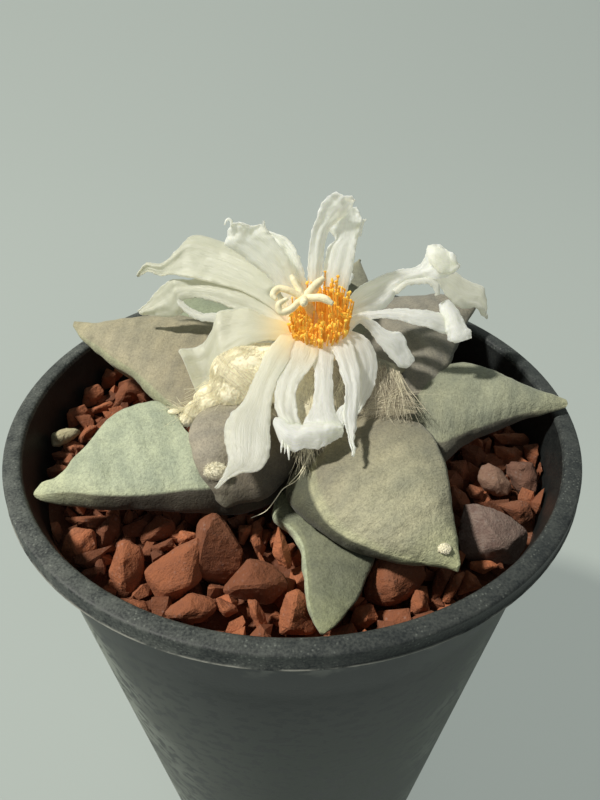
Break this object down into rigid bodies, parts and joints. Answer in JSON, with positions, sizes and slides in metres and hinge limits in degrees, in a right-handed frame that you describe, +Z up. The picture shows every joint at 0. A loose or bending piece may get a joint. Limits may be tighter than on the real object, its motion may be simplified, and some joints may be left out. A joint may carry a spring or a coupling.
{
  "type": "potted ariocarpus retusus",
  "caption": "Small star-shaped cactus with grey-green tubercles and an open white flower, set in red grit in a round dark nursery pot. Stands on a shelf or sill.",
  "frame": {"origin": "centre of the pot's base, on the surface that it stands on", "axes": "+Z up out of the pot; +Y away from the side that the picture shows; +X to its right"},
  "size_m": [0.1, 0.1, 0.1558],
  "materials": {
    "pot": "satin moulded, dusty",
    "potting_mix": "dry gritty soil",
    "grit": "matt broken clay",
    "mauve_stone": "matt, speckled",
    "pink_stone": "matt",
    "brown_stone": "matt",
    "pale_pebble": "smooth",
    "cactus_skin": "matt waxy",
    "wool": "matted hair",
    "petal": "silky, slightly translucent",
    "stamen": "powdery",
    "pistil": "satin"
  },
  "bodies": {
    "root": {"pot": "pot", "potting_mix": "potting_mix", "grit_top_dressing": "grit", "mauve_stone": "mauve_stone", "pink_stone": "pink_stone", "brown_stone": "brown_stone", "pale_pebble": "pale_pebble", "cactus_body": "cactus_skin", "crown_wool": "wool", "front_areole_wool": "wool", "right_areole_wool": "wool", "flower_petals": "petal", "flower_stamens": "stamen", "flower_pistil": "pistil"}
  },
  "joints": []
}
